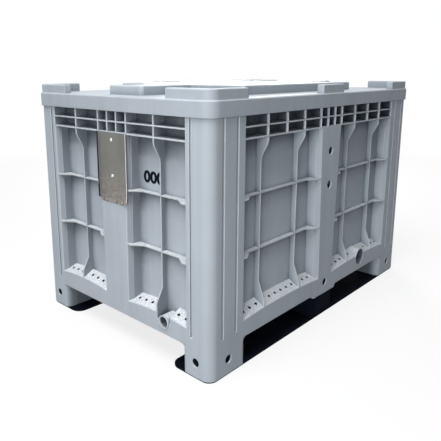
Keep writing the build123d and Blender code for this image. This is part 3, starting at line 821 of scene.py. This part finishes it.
def make_rivets(finishes):
    """Blind rivets of the label plate: a domed head with a dimple, and the shank behind it."""
    low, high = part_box("plate_rivets")
    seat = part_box("label_plate")[1][0] - PLATE_THICKNESS
    dimple = RIVET_HEAD_HEIGHT - RIVET_DIMPLE_DEPTH
    start = math.asin(RIVET_DIMPLE_RADIUS / RIVET_HEAD_RADIUS)
    profile = [(0.0, dimple), (RIVET_DIMPLE_RADIUS * RIVET_DIMPLE_TAPER, dimple)]
    for step in range(RIVET_ARC_STEPS + 1):
        turn = start + (math.pi / 2 - start) * step / RIVET_ARC_STEPS
        profile.append((RIVET_HEAD_RADIUS * math.sin(turn), RIVET_HEAD_HEIGHT * math.cos(turn)))
    profile.append((RIVET_SHANK_RADIUS, 0.0))
    profile.append((RIVET_SHANK_RADIUS, -RIVET_SHANK_LENGTH))
    profile.append((0.0, -RIVET_SHANK_LENGTH))
    outward = Matrix.Rotation(math.radians(-90.0), 4, "Y")
    bm = bmesh.new()
    for level in (low[2] + RIVET_HEAD_RADIUS, high[2] - RIVET_HEAD_RADIUS):
        centre = Vector((seat, (low[1] + high[1]) / 2, level))
        add_lathe(bm, profile, Matrix.Translation(centre) @ outward, RIVET_SIDES)
    rivets = add_piece("plate_rivet_heads", bm, finishes["plate_rivets"])
    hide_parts("plate_rivets")


def is_seen(tree):
    """1 for rays from the camera and for what mirrors or lets it through, 0 for light that only bounces."""
    path = tree.nodes.new("ShaderNodeLightPath")
    value = path.outputs["Is Camera Ray"]
    for name in ("Is Glossy Ray", "Is Transmission Ray"):
        either = tree.nodes.new("ShaderNodeMath")
        either.operation = "MAXIMUM"
        tree.links.new(value, either.inputs[0])
        tree.links.new(path.outputs[name], either.inputs[1])
        value = either.outputs["Value"]
    return value


def make_floor():
    """Pale floor, white to the camera in the open, that keeps the object's shadow."""
    mesh = bpy.data.meshes.new("floor")
    half = FLOOR_SIZE / 2
    corners = [(-half, -half, 0.0), (half, -half, 0.0), (half, half, 0.0), (-half, half, 0.0)]
    mesh.from_pydata(corners, [], [(0, 1, 2, 3)])
    floor = bpy.data.objects.new("floor", mesh)
    bpy.context.scene.collection.objects.link(floor)
    g = Graph("floor")
    seen = is_seen(g.tree)
    g.shade(Base_Color=FLOOR_COLOUR, Roughness=0.9, Specular_IOR_Level=0.0, Emission_Color=WHITE,
            Emission_Strength=g.times(seen, FLOOR_GLOW))
    far = g.times(seen, g.ramp(g.length(g.place), *FLOOR_FADE))
    white = g.add("ShaderNodeEmission", {"Color": WHITE, "Strength": 1.0}).outputs["Emission"]
    surface = g.add("ShaderNodeMixShader", {"Fac": far})
    g.feed(surface.inputs[1], g.shader.outputs["BSDF"])
    g.feed(surface.inputs[2], white)
    g.feed(g.tree.nodes["Material Output"].inputs["Surface"], surface.outputs["Shader"])
    mesh.materials.append(g.material)


def make_world():
    """Soft even light, seen as white by the camera and in reflections."""
    world = bpy.data.worlds.new("studio")
    bpy.context.scene.world = world
    world.use_nodes = True
    tree = world.node_tree
    light = tree.nodes["Background"]
    light.inputs["Color"].default_value = AMBIENT_COLOUR
    light.inputs["Strength"].default_value = AMBIENT_LEVEL
    seen = tree.nodes.new("ShaderNodeBackground")
    seen.inputs["Color"].default_value = WHITE
    seen.inputs["Strength"].default_value = 1.0
    mix = tree.nodes.new("ShaderNodeMixShader")
    tree.links.new(is_seen(tree), mix.inputs["Fac"])
    tree.links.new(light.outputs["Background"], mix.inputs[1])
    tree.links.new(seen.outputs["Background"], mix.inputs[2])
    tree.links.new(mix.outputs["Shader"], tree.nodes["World Output"].inputs["Surface"])


def make_lamp(lamp):
    """Disk of light that faces the box and isn't seen itself."""
    data = bpy.data.lights.new(lamp.name, "AREA")
    data.shape = "DISK"
    data.size = lamp.size
    data.energy = lamp.watts
    piece = bpy.data.objects.new(lamp.name, data)
    bpy.context.scene.collection.objects.link(piece)
    piece.location = lamp.place
    piece.rotation_mode = "QUATERNION"
    piece.rotation_quaternion = (LAMP_TARGET - lamp.place).to_track_quat("-Z", "Y")
    piece.visible_camera = False


def make_camera():
    """Camera at the photograph's place, with its framing."""
    forward = Vector((
        math.sin(CAMERA_YAW) * math.cos(CAMERA_PITCH),
        math.cos(CAMERA_YAW) * math.cos(CAMERA_PITCH),
        -math.sin(CAMERA_PITCH),
    ))
    level = Vector((math.cos(CAMERA_YAW), -math.sin(CAMERA_YAW), 0.0))
    below = forward.cross(level)
    right = level * math.cos(CAMERA_ROLL) + below * math.sin(CAMERA_ROLL)
    up = level * math.sin(CAMERA_ROLL) - below * math.cos(CAMERA_ROLL)
    data = bpy.data.cameras.new("camera")
    data.sensor_width = SENSOR_MM
    data.lens = SENSOR_MM * FOCAL_PIXELS / IMAGE_PIXELS
    data.shift_x = 0.5 - PRINCIPAL_POINT[0] / IMAGE_PIXELS
    data.shift_y = PRINCIPAL_POINT[1] / IMAGE_PIXELS - 0.5
    camera = bpy.data.objects.new("camera", data)
    bpy.context.scene.collection.objects.link(camera)
    facing = Matrix((right, up, -forward)).transposed().to_4x4()
    camera.matrix_world = Matrix.Translation(CAMERA_PLACE) @ facing
    bpy.context.scene.camera = camera


finishes = dress_nodes()
make_weep_holes(finishes)
make_coves(finishes)
make_number(finishes)
make_label_plate(finishes)
make_rivets(finishes)
make_floor()
make_world()
for lamp in LAMPS:
    make_lamp(lamp)
make_camera()
bpy.context.scene.view_settings.view_transform = "Standard"
